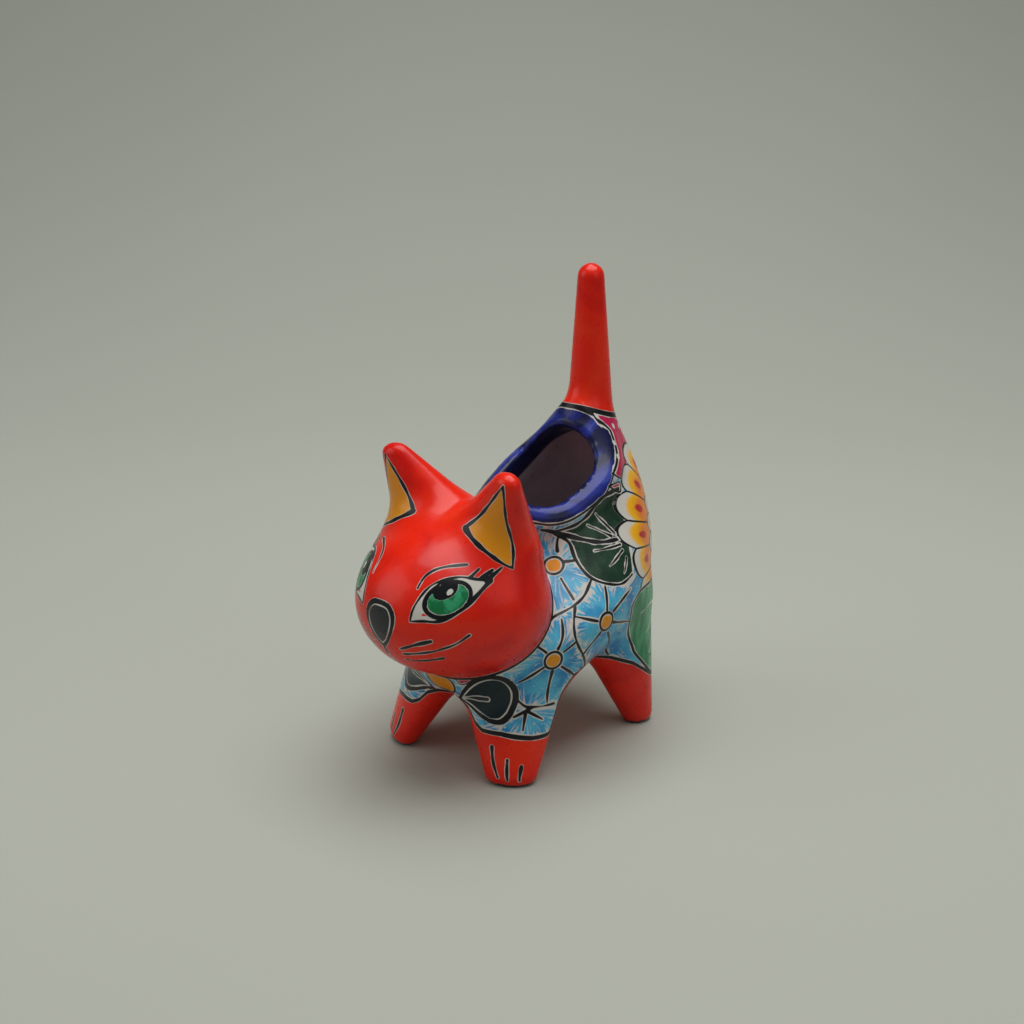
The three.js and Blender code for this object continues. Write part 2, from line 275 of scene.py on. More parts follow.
def makeClay(node):
    bm = bmesh.new()
    bm.from_mesh(node.data)
    bm.transform(node.matrix_world)
    bmesh.ops.remove_doubles(bm, verts=bm.verts, dist=1e-6)
    mesh = bpy.data.meshes.new("clayFrame")
    bm.to_mesh(mesh)
    bm.free()
    piece = bpy.data.objects.new("glazedCat", mesh)
    bpy.context.collection.objects.link(piece)
    grid = piece.modifiers.new("evenGrid", "REMESH")
    grid.mode = "VOXEL"
    grid.voxel_size = clayGrid["voxel"] * millimetre
    even = bpy.data.meshes.new_from_object(piece.evaluated_get(bpy.context.evaluated_depsgraph_get()))
    piece.modifiers.clear()
    piece.data = even
    edges = np.array([edge.vertices[:] for edge in even.edges])
    p = settle(meshPoints(even), 3)
    for _ in range(clayGrid["evenRounds"]):
        p = settle(evened(p, edges), 2)
    putPoints(even, p)
    collapseShort(even, clayGrid["shortest"])
    return piece


def fitBox(mesh):  # keeps the glaze inside the solid's own box
    p = settle(meshPoints(mesh), 2)
    low, high = (np.array(corner) / millimetre for corner in cadBox)
    p = p * np.minimum(1, high / np.maximum(np.abs(p).max(0), 1e-6))
    p[:, 2] = np.maximum(p[:, 2], low[2])
    putPoints(mesh, p)


def refine(mesh, near):  # splits the edges that lie on or beside a painted line
    bm = bmesh.new()
    bm.from_mesh(mesh)
    bm.verts.ensure_lookup_table()
    chosen = []
    for edge in bm.edges:
        length = edge.calc_length() / millimetre
        first, second = edge.verts[0].index, edge.verts[1].index
        if length > clayGrid["finest"] and min(near[first], near[second]) < clayGrid["near"] * length:
            chosen.append(edge)
    bmesh.ops.subdivide_edges(bm, edges=chosen, cuts=1, use_grid_fill=True)
    bmesh.ops.triangulate(bm, faces=[face for face in bm.faces if len(face.verts) > 3])
    bm.to_mesh(mesh)
    bm.free()
    collapseShort(mesh, clayGrid["shortest"] / 4)
    putPoints(mesh, settle(meshPoints(mesh), 2))


piece = makeClay(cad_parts["cat_planter"])
print("clay laid", len(piece.data.polygons), "faces")

# Painting: lines and patches are laid on the clay as seen from the front or a side.
# Each layer is a signed distance in millimetres, negative where that paint is.

paintReach = 5.0
easel = {}
layers = {}
views = {
    "front": (lambda u, v: (u, -120, v), (0, 1, 0), (0, 2)),
    "side": (lambda u, v: (90, u, v), (-1, 0, 0), (1, 2)),
}


def wander(p):  # the small unsteadiness of a painting hand
    a = np.sin(p @ np.array([0.21, 0.17, 0.13]) + 0.4) + np.sin(p @ np.array([-0.11, 0.23, 0.31]) + 2.1)
    b = np.sin(p @ np.array([0.15, -0.27, 0.19]) + 1.3) + np.sin(p @ np.array([0.33, 0.09, -0.22]) + 0.2)
    c = np.sin(p @ np.array([-0.24, 0.12, 0.26]) + 3.0) + np.sin(p @ np.array([0.08, 0.29, 0.16]) + 1.1)
    return 0.16 * np.stack([a, b, c], 1)


def setEasel(mesh):
    points = meshPoints(mesh)
    layers.clear()
    easel["points"] = points
    easel["steady"] = points + wander(points)
    easel["canvas"] = folded(easel["steady"])
    faces = [face.vertices[:] for face in mesh.polygons]
    easel["tree"] = BVHTree.FromPolygons([Vector(point) for point in points], faces)


def layer(name):
    return layers.setdefault(name, np.full(len(easel["points"]), paintReach))


def ink(field):
    layers["ink"] = np.minimum(layer("ink"), field)


def paleLine(field, half):
    layers["pale"] = np.minimum(layer("pale"), np.abs(field) - half)


def curve(marks, step=0.8):  # a smooth run through a few marks
    run = []
    marks = [np.array(mark, float) for mark in marks]
    padded = [marks[0]] + marks + [marks[-1]]
    for a, b, c, d in zip(padded, padded[1:], padded[2:], padded[3:]):
        count = max(1, math.ceil(np.linalg.norm(c - b) / step))
        for t in np.arange(count) / count:
            bend, swing = 2 * a - 5 * b + 4 * c - d, 3 * b - a - 3 * c + d
            run.append(b + 0.5 * ((c - a) * t + bend * t**2 + swing * t**3))
    return run + [marks[-1]]


def laid(run, view):  # the run's places on the clay
    source, direction, _ = views[view]
    found = []
    for mark in run:
        hit = easel["tree"].ray_cast(Vector(source(*mark)), Vector(direction))[0]
        if hit is not None:
            found.append(np.array(hit))
    return found


def nearLine(line, widths):  # distance from the canvas to a line, less its half width
    line = np.array(line)
    canvas = easel["canvas"]
    box = (canvas > line.min(0) - paintReach - 2).all(1) & (canvas < line.max(0) + paintReach + 2).all(1)
    p = canvas[box]
    best = np.full(len(p), paintReach)
    shares = np.linspace(0, 1, len(line))
    half = widths[0] + (widths[1] - widths[0]) * shares
    half = half * (1 + 0.16 * np.sin(np.arange(len(line)) * 0.7 + line[0, 1]))  # a brush's pressure
    for a, b, wide, thin in zip(line, line[1:], half, half[1:]):
        ab = b - a
        t = np.clip((p - a) @ ab / max(ab @ ab, 1e-9), 0, 1)
        away = np.linalg.norm(p - a - t[:, None] * ab, axis=1)
        best = np.minimum(best, away - wide - (thin - wide) * t)
    out = np.full(len(canvas), paintReach)
    out[box] = best
    return out


def stroke(name, view, marks, start, end=None):
    line = laid(curve(marks), view)
    field = nearLine(line, (start, start if end is None else end))
    layers[name] = np.minimum(layer(name), field)


def inside(outline, flat):  # even-odd test in the view's plane
    result = np.zeros(len(flat), bool)
    for (ax, ay), (bx, by) in zip(outline, outline[1:] + outline[:1]):
        crosses = (ay > flat[:, 1]) != (by > flat[:, 1])
        at = ax + (flat[:, 1] - ay) * (bx - ax) / (by - ay if by != ay else 1e-9)
        result ^= crosses & (flat[:, 0] < at)
    return result


def patchField(view, sides):
    outline = [mark for side in sides for mark in curve(side)[:-1]]
    line = laid(outline + outline[:1], view)
    field = nearLine(line, (0, 0))
    axes = views[view][2]
    canvas = easel["canvas"]
    depth = (canvas - np.mean(line, axis=0)) @ np.array(views[view][1])
    within = inside([tuple(mark) for mark in outline], canvas[:, axes]) & (depth < 16)
    return np.where(within, -np.maximum(field, 0.01), field)


def patch(name, view, sides, outline=0.0):
    field = patchField(view, sides)
    layers[name] = np.minimum(layer(name), field)
    if outline:
        ink(np.abs(field) - outline)
    return field


def oval(centre, across, up):
    marks = [
        (centre[0] + across * math.cos(a), centre[1] + up * math.sin(a))
        for a in np.linspace(0, 2 * math.pi, 17)
    ]
    return [marks]


# The clay's own parts: where the red, the cobalt lip and the bare hollow begin

sockRear = {"y": (-6, 8, 20, 28, 38, 48), "z": (38, 35, 32, 28, 20.5, 16)}
sockFront = {"x": (5, 10, 13.5, 17, 24, 32), "z": (27.5, 25, 21, 19.2, 19, 17.4)}
rimEdge = {"y": (-4, 3, 13, 23, 30, 38), "over": (0.9, 0.8, 0.1, -0.6, 1.8, 1.5)}
legTop, legFoot = (15.3, -16.9, 39.6), (26.1, -30.4, 3.5)


def legRear(p):  # how far a point lies behind the front leg's painted outer face
    share = (p[:, 2] - legTop[2]) / (legFoot[2] - legTop[2])
    x = legTop[0] + (legFoot[0] - legTop[0]) * share
    y = legTop[1] + (legFoot[1] - legTop[1]) * share
    return 0.87 * (p[:, 1] - y) - 0.49 * (np.abs(p[:, 0]) - x)


def paintParts():
    points, steady = easel["points"], easel["steady"]
    over, outside = aboveMouth(points), shell(points)
    ring = np.hypot(outside + form["wall"] / 2, over)
    x, y, z = np.abs(steady[:, 0]), steady[:, 1], steady[:, 2]
    layers["head"] = head(points) - np.minimum(np.minimum(outside, legs(points)), ring - form["lipRadius"])
    layers["tail"] = 118.6 - 0.33 * (y - 33.5) - z
    besideTail = np.clip((13 - x) * 0.85, 0, 6) * np.clip((y - 33) / 3, 0, 1)
    rim = np.interp(y, rimEdge["y"], rimEdge["over"]) + besideTail - over
    rim = np.maximum(np.minimum(rim, outside + 1), ring - 6.5)
    layers["rim"] = np.maximum(rim, -np.minimum(layers["head"], layers["tail"]))
    layers["hollow"] = np.maximum(outside + 3.4, over + 6.5 + 0.8 * np.sin(x * 0.35))
    layers["inner"] = np.maximum(outside + 3.9, over - 1)
    rear = z - np.interp(y, sockRear["y"], sockRear["z"])
    front = z - np.interp(x, sockFront["x"], sockFront["z"])
    front = np.minimum(front, np.maximum(-legRear(steady), z - 36.5))
    layers["sock"] = np.where(y > -5, rear, front)
    onBody = (layers["head"] > 0) & (layers["inner"] > 0) & (layers["rim"] > -1) & (layers["tail"] > -1)
    ink(np.abs(layers["head"]) - 0.65)
    ink(np.where(onBody, np.abs(layers["sock"]) - 0.75, paintReach))
    ink(np.where(outside > -0.5, np.abs(layers["rim"]) - 0.42, paintReach))
    ink(np.where(layers["inner"] > 0, np.abs(layers["tail"]) - 0.95, paintReach))
    return onBody


# The face, seen from the front: across, up

face = {
    "upperLid": [(11.4, 67.8), (12.1, 73.8), (14.2, 79.4), (19.4, 81.6), (24.2, 80.7), (27.6, 79.9)],
    "lowerLid": [(27.6, 79.9), (26.4, 76), (24.2, 71.8), (19.9, 68.7), (15.6, 68.5), (11.4, 67.8)],
    "iris": ((19.9, 75.2), 4.9, 4.7),
    "irisRing": 1.5,
    "pupil": ((18.3, 78.0), 3.1, 3.1),
    "gleam": ((19.7, 77.4), 0.8, 1.0),
    "arc": [(16.5, 79.6), (16.3, 77.9), (16.9, 76.5)],
    "cornerDot": ((15.6, 70.5), 1.0, 0.4),
    "brow": [(10.5, 78.2), (10.9, 81.3), (12.6, 83.4), (15.5, 84.4), (19.8, 84.7)],
    "lashes": [
        [(22.7, 81.2), (23.3, 83.4)],
        [(25.3, 80.8), (26.5, 83.0)],
        [(26.8, 80.0), (28.2, 83.7)],
    ],
    "whiskers": [
        ([(6, 56.4), (12, 59.4), (17.4, 61.6)], 0.42, 0.8),
        ([(6.4, 54.4), (16, 57), (20.2, 58.7), (23.7, 60.5), (26.8, 63.4)], 0.55, 0.45),
        ([(6, 51.8), (11.4, 52.3), (19, 54.4)], 0.45, 0.65),
    ],
}
noseShift = 1.5
nose = {
    "outer": [(-0.2, 72.6), (4.4, 71.8), (7.0, 68), (6.2, 63.4), (3.6, 58.4), (1.3, 55.6), (0, 54.2)],
    "middle": [(-0.2, 70.6), (3.2, 70), (5.0, 67), (4.4, 63), (2.2, 58.8), (0, 56.6)],
    "stem": [(0, 56), (0, 52.2)],
    "lip": [(0.2, 51.8), (1.4, 48.6), (3.6, 46.6), (8, 44.6)],
    "lipLine": [(0.2, 50.4), (1.6, 47.2), (4, 45.2), (10, 43.4)],
}


def bothSides(marks):  # a middle shape from its left half, top to bottom
    return marks + [(-x, z) for x, z in reversed(marks)]


def paintEyes():
    patch("eyeWhite", "front", [face["upperLid"], face["lowerLid"]])
    stroke("ink", "front", face["upperLid"], 0.4, 0.6)
    stroke("ink", "front", face["lowerLid"], 0.85, 0.35)
    centre, across, up = face["iris"]
    iris = patchField("front", oval(centre, across, up))
    eyeWhite = layers["eyeWhite"]
    ink(np.maximum(np.abs(iris - face["irisRing"] / 2) - face["irisRing"] / 2, eyeWhite - 0.3))
    layers["iris"] = np.maximum(iris, eyeWhite + 0.4)
    pupil = patchField("front", oval(*face["pupil"]))
    ink(np.maximum(pupil, eyeWhite))
    patch("gleam", "front", oval(*face["gleam"]))
    stroke("gleam", "front", face["arc"], 0.25, 0.12)
    patch("redDot", "front", oval(*face["cornerDot"]))
    stroke("ink", "front", face["brow"], 0.4, 0.6)
    for lash in face["lashes"]:
        stroke("ink", "front", lash, 0.85, 0.55)
    for marks, start, end in face["whiskers"]:
        stroke("ink", "front", marks, start, end)


def paintNose():  # the nose sits a little to the cat's right
    easel["canvas"] = folded(easel["steady"] + np.array([noseShift, 0, 0]))
    outer = patchField("front", [bothSides(nose["outer"])])
    middle = patchField("front", [bothSides(nose["middle"])])
    ink(np.maximum(outer, 0.3 - middle))
    layers["slate"] = middle
    paleLine(middle, 0.26)
    stroke("ink", "front", nose["stem"], 0.5, 0.8)
    stroke("lip", "front", nose["lip"], 0.5, 0.7)
    stroke("ink", "front", nose["lipLine"], 0.35, 0.2)
    easel["canvas"] = folded(easel["steady"])


earMark = {
    "inner": [(27.5, 111.2), (20, 102.6), (12.4, 94)],
    "lower": [(12.4, 94), (21.5, 88.8), (26, 86.2), (30.4, 83.4)],
    "outer": [(30.4, 83.4), (29.1, 90), (27.7, 99), (27.5, 111.2)],
}


def paintEars():
    patch("ochre", "front", list(earMark.values()))
    canvas = easel["canvas"]
    lean = (ear["end"][1] - ear["start"][1]) / (ear["end"][2] - ear["start"][2])
    behind = canvas[:, 1] - ear["start"][1] - lean * (canvas[:, 2] - ear["start"][2])
    layers["ochre"] = np.maximum(layers["ochre"], behind)  # the ears' backs stay red
    stroke("ink", "front", earMark["inner"], 0.35, 0.85)
    stroke("ink", "front", earMark["lower"], 1.1, 0.5)
    stroke("ink", "front", earMark["outer"], 0.55, 0.45)


# The flowers of the flank, seen from the side: backwards, up. Each spoke runs outwards.

flowers = [
    {
        "view": "side",
        "centre": (-2, 72),
        "spokes": [[(1.4, 76.2), (3.4, 80.4)], [(0.8, 73.1), (4.4, 73.4)], [(-3, 68.6), (-4.6, 63)]],
    },
    {
        "view": "side",
        "centre": (3.3, 54.8),
        "spokes": [
            [(4, 59), (7.1, 65.3)],
            [(7, 57.6), (18.8, 62)],
            [(7.2, 53.4), (20.5, 48)],
            [(5, 50), (12, 41), (18.9, 33.6)],
            [(0.6, 51.2), (-6.8, 44)],
            [(-1, 56.2), (-7.5, 58.3)],
        ],
    },
    {
        "view": "side",
        "centre": (-18.3, 45.2),
        "spokes": [
            [(-17, 49.6), (-11.6, 58)],
            [(-21, 48.6), (-23.5, 51.6)],
            [(-14.8, 48), (-10.7, 50.3)],
            [(-14.8, 42), (-6.9, 35.7)],
            [(-18, 40.8), (-19.1, 29)],
            [(-21.3, 42.8), (-28, 38)],
        ],
    },
    {
        "view": "side",
        "centre": (-26, 27.1),
        "noEye": True,
        "spokes": [
            [(-26, 27.1), (-21.7, 23.3)],
            [(-26, 27.1), (-28.5, 20.3)],
            [(-26, 27.1), (-29.6, 24.8)],
            [(-26, 27.1), (-23.7, 28.3)],
        ],
    },
]
petalEdges = [
    [(4.6, 68), (-1.2, 63.8), (-7.1, 60.8), (-14.2, 58.4)],
    [(-5.8, 61), (-10.1, 54.7), (-9.3, 49), (-2, 37.4)],
    [(-28.2, 32), (-26, 28.8), (-23.7, 28.3), (-16.2, 27.7)],
]
flowerSize = {"eye": 2.8, "ring": 0.5, "spoke": 0.62, "spokeTip": 0.45, "edge": 0.5}


def paintFlowers():
    canvas = easel["canvas"]
    nearest, nearestEye = np.full(len(canvas), 1e3), np.full(len(canvas), 1e3)
    spotX, spotY = np.zeros(len(canvas)), np.zeros(len(canvas))
    for flower in flowers:
        view = flower["view"]
        centre = laid([flower["centre"]], view)[0]
        offset = canvas - centre
        away = np.linalg.norm(offset, axis=1)
        flat = offset[:, views[view][2]]
        flat = flat / np.maximum(np.linalg.norm(flat, axis=1), 1e-6)[:, None]
        closer = away < nearest
        spotX = np.where(closer, flat[:, 0] * away, spotX)
        spotY = np.where(closer, flat[:, 1] * away, spotY)
        nearest = np.minimum(nearest, away)
        if not flower.get("noEye"):
            nearestEye = np.minimum(nearestEye, away)
            ink(np.abs(away - flowerSize["eye"] - flowerSize["ring"]) - flowerSize["ring"])
        for spoke in flower["spokes"]:
            stroke("ink", view, spoke, flowerSize["spoke"], flowerSize["spokeTip"])
    for edge in petalEdges:
        stroke("petalEdge", "side", edge, flowerSize["edge"])
    ink(layers["petalEdge"])
    layers["flowerEye"] = nearestEye - flowerSize["eye"]
    layers["spotX"], layers["spotY"] = spotX, spotY


leafMark = {
    "upper": [(1.8, 82.9), (8.6, 84.6), (14.4, 87.6), (20, 91), (25.9, 92.7), (31, 93)],
    "back": [(31, 93), (29, 84), (26, 75), (21.5, 66.5)],
    "lower": [(21.5, 66.5), (14.4, 64.8), (8.1, 66), (4.7, 68.6), (4.1, 73.6), (5.4, 78.9), (1.8, 82.9)],
    "midrib": [(-1.6, 84), (1.8, 82.9), (9.8, 79.2), (16, 77.6), (24, 77.4)],
    "veins": [
        [(22.6, 79.2), (17.6, 86.8)],
        [(20.6, 78.8), (13.4, 83.8)],
        [(22.4, 75.6), (11.6, 75.4)],
        [(22, 73.8), (13.4, 70.8)],
        [(22, 71.6), (17.6, 67.8)],
    ],
}
sun = {"centre": (0, 66, 62), "across": 56.0, "up": 47.0, "petals": 26, "bow": 22.0}
emeraldMark = [
    [(50, 55.5), (44, 57.3), (37, 58), (25.7, 58.4), (19.8, 55)],
    [(19.8, 55), (20.8, 46.6), (26.2, 36.4), (29, 31.2), (38.5, 21)],
    [(38.5, 21), (50, 20), (57, 32), (56, 48), (50, 55.5)],
]
emeraldVeins = [
    [(54, 50), (44, 47), (34, 39)],
    [(44, 47), (36, 50), (28, 49)],
    [(50, 36), (42, 36), (37, 30)],
]
magentaMarks = [
    [
        (28.5, 99.5),
        (36, 95.5),
        (44, 99),
        (54, 104),
        (60, 112),
        (46, 120),
        (32, 119.5),
        (29, 109),
        (28.5, 99.5),
    ],
    [(25.2, 95.4), (32.5, 95.2), (31.5, 91.6), (25.2, 95.4)],
]
magentaDots = [(43, 111.5), (37.6, 107), (36, 102.6), (48, 110)]


def paintLeaves():
    leafSides = [leafMark["upper"], leafMark["back"], leafMark["lower"]]
    patch("leaf", "side", leafSides)
    stroke("ink", "side", leafMark["upper"], 0.55, 0.9)
    stroke("ink", "side", leafMark["lower"], 0.45, 0.7)
    stroke("ink", "side", leafMark["midrib"], 1.0, 0.7)
    for vein in leafMark["veins"]:
        stroke("ink", "side", vein, 0.55, 0.25)
    for marks in magentaMarks:
        patch("magenta", "side", [marks], 0.4)
    for dot in magentaDots:
        patch("pale", "side", oval(dot, 0.9, 0.9))
    canvas = easel["canvas"]
    offset = canvas - np.array(sun["centre"])
    level = np.hypot(offset[:, 0], offset[:, 1]) * np.where(offset[:, 1] > 4, -1, 1)
    layers["sunX"] = level
    layers["sunY"] = offset[:, 2] * sun["across"] / sun["up"]
    turn = np.arctan2(layers["sunY"], layers["sunX"]) * sun["petals"] / (2 * math.pi)
    scallop = sun["bow"] * np.abs((turn + 40) % 1 - 0.5) ** 2.4
    sunEdge = np.hypot(layers["sunX"], layers["sunY"]) + scallop - sun["across"]
    for name in ("ink", "pale"):
        layers[name] = np.maximum(layers[name], 0.4 - sunEdge)
    patch("emerald", "side", emeraldMark, 0.55)
    for vein in emeraldVeins:
        stroke("paleVein", "side", vein, 0.7, 0.3)


# The chest under the head, seen from the front

bowMark = [
    [(5.6, 27.8), (12, 35.4), (16, 39), (20.4, 41), (24.4, 40.2), (26.6, 36.6), (27, 31), (26.2, 25.4)],
    [(26.2, 25.4), (24.4, 22.4), (20.8, 22), (16, 23.6), (10.4, 26.2), (5.6, 27.8)],
]
bowInner = [
    [(7.8, 28.4), (13.4, 34.4), (17.4, 37.6), (20.8, 38.8), (23.4, 38), (24.9, 35), (25, 30.6), (24.2, 26.4)],
    [(24.2, 26.4), (22.6, 24.2), (20, 24), (16, 25.4), (11.6, 27.4), (7.8, 28.4)],
]
bowFinger = [(8.6, 28.9), (13, 30.2), (18.2, 30.6)]
chestOval = ((0, 34.2), 6.6, 5.4)
chestMagenta = [(8.5, 42.5), (17.4, 41.6), (10.2, 35.4), (8.5, 42.5)]


def paintChest():
    bow = patchField("front", bowMark)
    inner = patchField("front", bowInner)
    ink(np.maximum(bow, 0.3 - inner))
    layers["teal"] = inner
    paleLine(inner, 0.28)
    stroke("slateFinger", "front", bowFinger, 0.3, 1.1)
    paleLine(layers["slateFinger"], 0.22)
    patch("ochre", "front", oval(*chestOval), 0.5)
    patch("magenta", "front", [chestMagenta], 0.3)


toeMarks = [
    [(22.0, 14.2), (23.4, 8.6), (25.4, 4)],
    [(27.6, 10.6), (28.0, 7), (28.7, 3.2)],
    [(31.6, 8.2), (31.8, 5.6), (32, 3.2)],
]


def paintAll(mesh):
    setEasel(mesh)
    onBody = paintParts()
    paintEyes()
    paintNose()
    paintEars()
    faceInk = layers["ink"].copy()
    paintFlowers()
    paintLeaves()
    paintChest()
    bare = ~onBody | (layers["sock"] < 0)
    layers["ink"] = np.where(bare, faceInk, np.minimum(layers["ink"], faceInk))
    layers["pale"] = np.where(bare & (layers["head"] > 0), paintReach, layers["pale"])
    for marks in toeMarks:
        stroke("ink", "front", marks, 0.75, 0.5)
    borders = [np.abs(layers[name]) for name in ("head", "sock", "rim", "leaf")]
    layers["border"] = np.clip(np.min(borders + [layers["petalEdge"]], axis=0), 0, paintReach)
    fine = [layers[name] for name in ("ink", "gleam", "lip", "paleVein", "pale")]
    edged = [np.abs(layers[name]) for name in ("iris", "slate", "emerald", "teal", "redDot", "hollow")]
    return np.min(fine + edged, axis=0)


for _ in range(2):
    refine(piece.data, paintAll(piece.data))
fitBox(piece.data)
paintAll(piece.data)
piece.data.shade_smooth()
print("painted", len(piece.data.polygons), "faces", len(layers), "layers")

for name, field in layers.items():
    store = piece.data.attributes.new(name, "FLOAT", "POINT")
    store.data.foreach_set("value", field.astype(np.float32))

# Glazes


def paint(red, green, blue):  # a colour as the eye reads it, 0 to 255
    return tuple(
        value / 12.92 if value <= 0.04045 else ((value + 0.055) / 1.055) ** 2.4
        for value in (red / 255, green / 255, blue / 255)
    ) + (1.0,)


class Glaze:
    def __init__(self, name):
        self.material = bpy.data.materials.new(name)
        self.material.use_nodes = True
        self.tree = self.material.node_tree
        self.shader = self.tree.nodes["Principled BSDF"]
        self.coordinates = self.tree.nodes.new("ShaderNodeTexCoord").outputs["Object"]

    def put(self, socket, value):
        if isinstance(value, bpy.types.NodeSocket):
            self.tree.links.new(value, socket)
        else:
            socket.default_value = value

    def math(self, operation, *values, clamp=False):
        node = self.tree.nodes.new("ShaderNodeMath")
        node.operation = operation
        node.use_clamp = clamp
        for socket, value in zip(node.inputs, values):
            self.put(socket, value)
        return node.outputs[0]

    def field(self, name):
        node = self.tree.nodes.new("ShaderNodeAttribute")
        node.attribute_name = name
        return node.outputs["Fac"]

    def ramp(self, value, low, high, start=0.0, end=1.0):
        node = self.tree.nodes.new("ShaderNodeMapRange")
        for socket, item in zip(node.inputs, (value, low, high, start, end)):
            self.put(socket, item)
        return node.outputs[0]

    def within(self, value, edge=0.0, soft=0.1):
        return self.ramp(value, edge + soft, edge - soft)

    def mix(self, share, first, second, blend="MIX"):
        node = self.tree.nodes.new("ShaderNodeMix")
        node.data_type = "RGBA"
        node.blend_type = blend
        self.put(node.inputs[0], share)
        self.put(node.inputs[6], first)
        self.put(node.inputs[7], second)
        return node.outputs[2]

    def noise(self, scale, detail=2.0, vector=None, stretch=None, distortion=0.0):
        node = self.tree.nodes.new("ShaderNodeTexNoise")
        node.inputs["Scale"].default_value = scale
        node.inputs["Detail"].default_value = detail
        node.inputs["Distortion"].default_value = distortion
        source = self.coordinates if vector is None else vector
        if stretch:
            mapping = self.tree.nodes.new("ShaderNodeMapping")
            mapping.inputs["Scale"].default_value = stretch
            self.put(mapping.inputs["Vector"], source)
            source = mapping.outputs[0]
        self.put(node.inputs["Vector"], source)
        return node.outputs["Fac"]

    def vector(self, x, y, z=0.0):
        node = self.tree.nodes.new("ShaderNodeCombineXYZ")
        for socket, value in zip(node.inputs, (x, y, z)):
            self.put(socket, value)
        return node.outputs[0]


colours = {
    "ground": paint(202, 198, 190),
    "white": paint(206, 202, 194),
    "ink": paint(13, 15, 20),
    "slate": paint(38, 40, 44),
    "red": paint(230, 32, 4),
    "redDeep": paint(212, 16, 2),
    "redPale": paint(236, 56, 16),
    "cobalt": paint(30, 44, 138),
    "navy": paint(12, 18, 62),
    "cobaltPale": paint(84, 104, 178),
    "hollow": paint(186, 172, 178),
    "hollowDark": paint(160, 146, 152),
    "ochre": paint(222, 142, 22),
    "sky": paint(82, 178, 212),
    "blue": paint(20, 124, 184),
    "leaf": paint(20, 48, 34),
    "leafPale": paint(34, 66, 46),
    "emerald": paint(40, 124, 84),
    "emeraldPale": paint(92, 168, 124),
    "teal": paint(8, 32, 40),
    "magenta": paint(186, 30, 78),
    "iris": paint(20, 112, 66),
    "irisPale": paint(52, 156, 108),
    "yellow": paint(240, 178, 30),
    "orange": paint(232, 128, 30),
    "crimson": paint(184, 30, 44),
    "clay": paint(70, 40, 34),
}


def polar(glaze, xName, yName):  # distance, angle and direction about a painted centre
    x, y = glaze.field(xName), glaze.field(yName)
    square = glaze.math("ADD", glaze.math("MULTIPLY", x, x), glaze.math("MULTIPLY", y, y))
    away = glaze.math("MAXIMUM", glaze.math("SQRT", square), 0.01)
    return away, glaze.math("ARCTAN2", y, x), glaze.math("DIVIDE", x, away), glaze.math("DIVIDE", y, away)


def spun(glaze, aim, rate, along):  # noise that runs in streaks away from a centre
    away, _, x, y = aim
    turned = (glaze.math("MULTIPLY", part, rate) for part in (x, y))
    return glaze.vector(*turned, glaze.math("MULTIPLY", away, along))


def petalPaint(glaze):  # blue petals that streak out to white at their borders
    aim = polar(glaze, "spotX", "spotY")
    streaks = glaze.noise(1.0, 2.0, spun(glaze, aim, 7.0, 0.12))
    hairs = glaze.noise(1.0, 1.0, spun(glaze, aim, 17.0, 0.1))
    broad = glaze.noise(130.0, 3.0)
    body = glaze.mix(glaze.ramp(broad, 0.4, 0.62), colours["sky"], colours["blue"])
    border = glaze.field("border")
    ragged = glaze.math("MULTIPLY", glaze.math("SUBTRACT", streaks, 0.5), 12.0)
    white = glaze.ramp(glaze.math("ADD", border, ragged), 1.5, 0.7)
    hairline = glaze.math("MULTIPLY", glaze.ramp(hairs, 0.58, 0.64), glaze.ramp(border, 4.9, 3.2))
    speck = glaze.ramp(glaze.noise(520.0, 2.0), 0.64, 0.7)
    thin = glaze.math("MULTIPLY", glaze.math("MAXIMUM", hairline, speck), 0.8)
    share = glaze.math("MAXIMUM", white, thin)
    return glaze.mix(share, body, colours["ground"])


def sunPaint(glaze, base):  # one sunflower over the rump, with crimson drops near the petals' tips
    count = sun["petals"]
    away, turnOf, _, _ = polar(glaze, "sunX", "sunY")
    angle = glaze.math("MULTIPLY", turnOf, count / (2 * math.pi))
    result = base
    for share, shift in ((1.0, 0.0), (0.68, 0.5), (0.4, 0.0)):
        phase = glaze.math("SUBTRACT", glaze.math("FRACT", glaze.math("ADD", angle, shift + 40)), 0.5)
        side = glaze.math("ABSOLUTE", phase)
        halfGap = glaze.math("MULTIPLY", away, math.pi / count)
        sideways = glaze.math("MULTIPLY", glaze.math("MULTIPLY", side, halfGap), 2.0)
        bow = glaze.math("MULTIPLY", glaze.math("POWER", side, 2.4), sun["bow"])
        edge = glaze.math("SUBTRACT", glaze.math("ADD", away, bow), share * sun["across"])
        depth = glaze.math("MULTIPLY", edge, -1.0)
        tone = glaze.mix(glaze.ramp(depth, 3.2, 5.0), colours["white"], colours["yellow"])
        tone = glaze.mix(glaze.ramp(depth, 6.0, 10.5), tone, colours["orange"])
        along = glaze.math("DIVIDE", glaze.math("SUBTRACT", depth, 11.0), 3.0)
        across = glaze.math("DIVIDE", sideways, 1.7)
        square = glaze.math("MULTIPLY", across, across)
        drop = glaze.math("ADD", glaze.math("MULTIPLY", along, along), square)
        tone = glaze.mix(glaze.ramp(drop, 1.3, 0.5), tone, colours["crimson"])
        gap = glaze.math("SUBTRACT", halfGap, sideways)
        tone = glaze.mix(glaze.within(gap, 0.4), tone, colours["ink"])
        tone = glaze.mix(glaze.within(glaze.math("ABSOLUTE", edge), 0.65), tone, colours["ink"])
        result = glaze.mix(glaze.within(edge, 0.65), result, tone)
    eye = glaze.mix(glaze.ramp(glaze.noise(420.0, 1.0), 0.5, 0.56), colours["ochre"], colours["crimson"])
    eye = glaze.mix(glaze.ramp(away, 8.4, 8.6), eye, colours["ink"])
    return glaze.mix(glaze.within(away, 9.4), result, eye)


